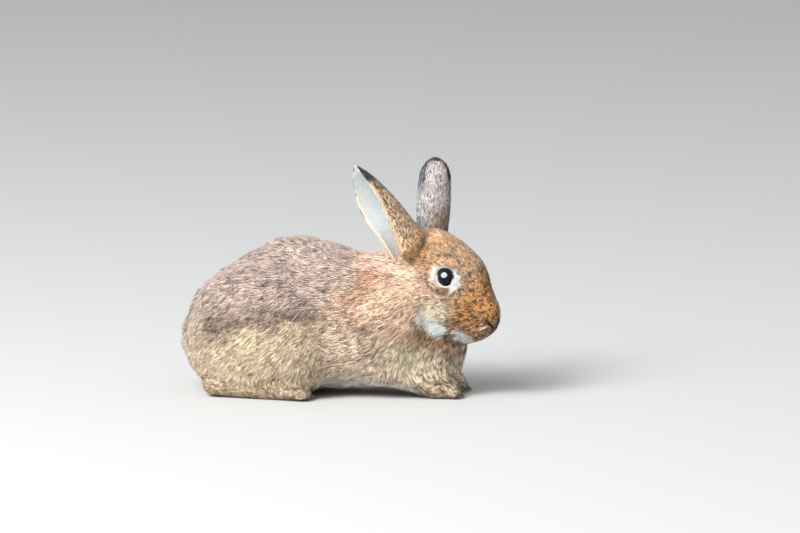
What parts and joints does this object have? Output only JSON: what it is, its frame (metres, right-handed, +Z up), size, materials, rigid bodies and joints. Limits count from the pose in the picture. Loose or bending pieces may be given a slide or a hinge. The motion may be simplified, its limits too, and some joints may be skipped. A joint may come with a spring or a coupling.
{
  "type": "domestic rabbit, still life-size model",
  "caption": "Crouched fawn rabbit with upright ears and its head turned a little to its right, as a still museum model.",
  "frame": {"origin": "middle of the rabbit's footprint box, on the floor", "axes": "+X to where the body faces, +Y to its left, +Z up"},
  "size_m": [0.2786, 0.136, 0.2],
  "materials": {
    "grey_fawn_coat": "ticked grey-brown fur over the back, rump and thighs",
    "fawn_coat": "orange-fawn fur of the neck and chest",
    "russet_coat": "short russet fur of the head, paler at the cheek, white round the eye and under the jaw",
    "pale_coat": "pale fawn fur of the legs, feet and tail",
    "ear_coat": "very short ticked brown fur outside, pale inside, black rim at the tip",
    "skin": "thin skin under the coat, on the eyelids and the nose",
    "eye": "wet dark brown eye with a clear cornea",
    "claw": "dark horn",
    "whisker": "fine pale bristle"
  },
  "bodies": {
    "root": {"trunk": "grey_fawn_coat", "neck": "fawn_coat", "head": "russet_coat", "tail": "pale_coat", "thigh_right": "grey_fawn_coat", "hind_foot_right": "pale_coat", "foreleg_right": "pale_coat", "forepaw_right": "pale_coat", "ear_right": "ear_coat", "eye_right": "eye", "thigh_left": "grey_fawn_coat", "hind_foot_left": "pale_coat", "foreleg_left": "pale_coat", "forepaw_left": "pale_coat", "ear_left": "ear_coat", "eye_left": "eye"}
  },
  "joints": []
}
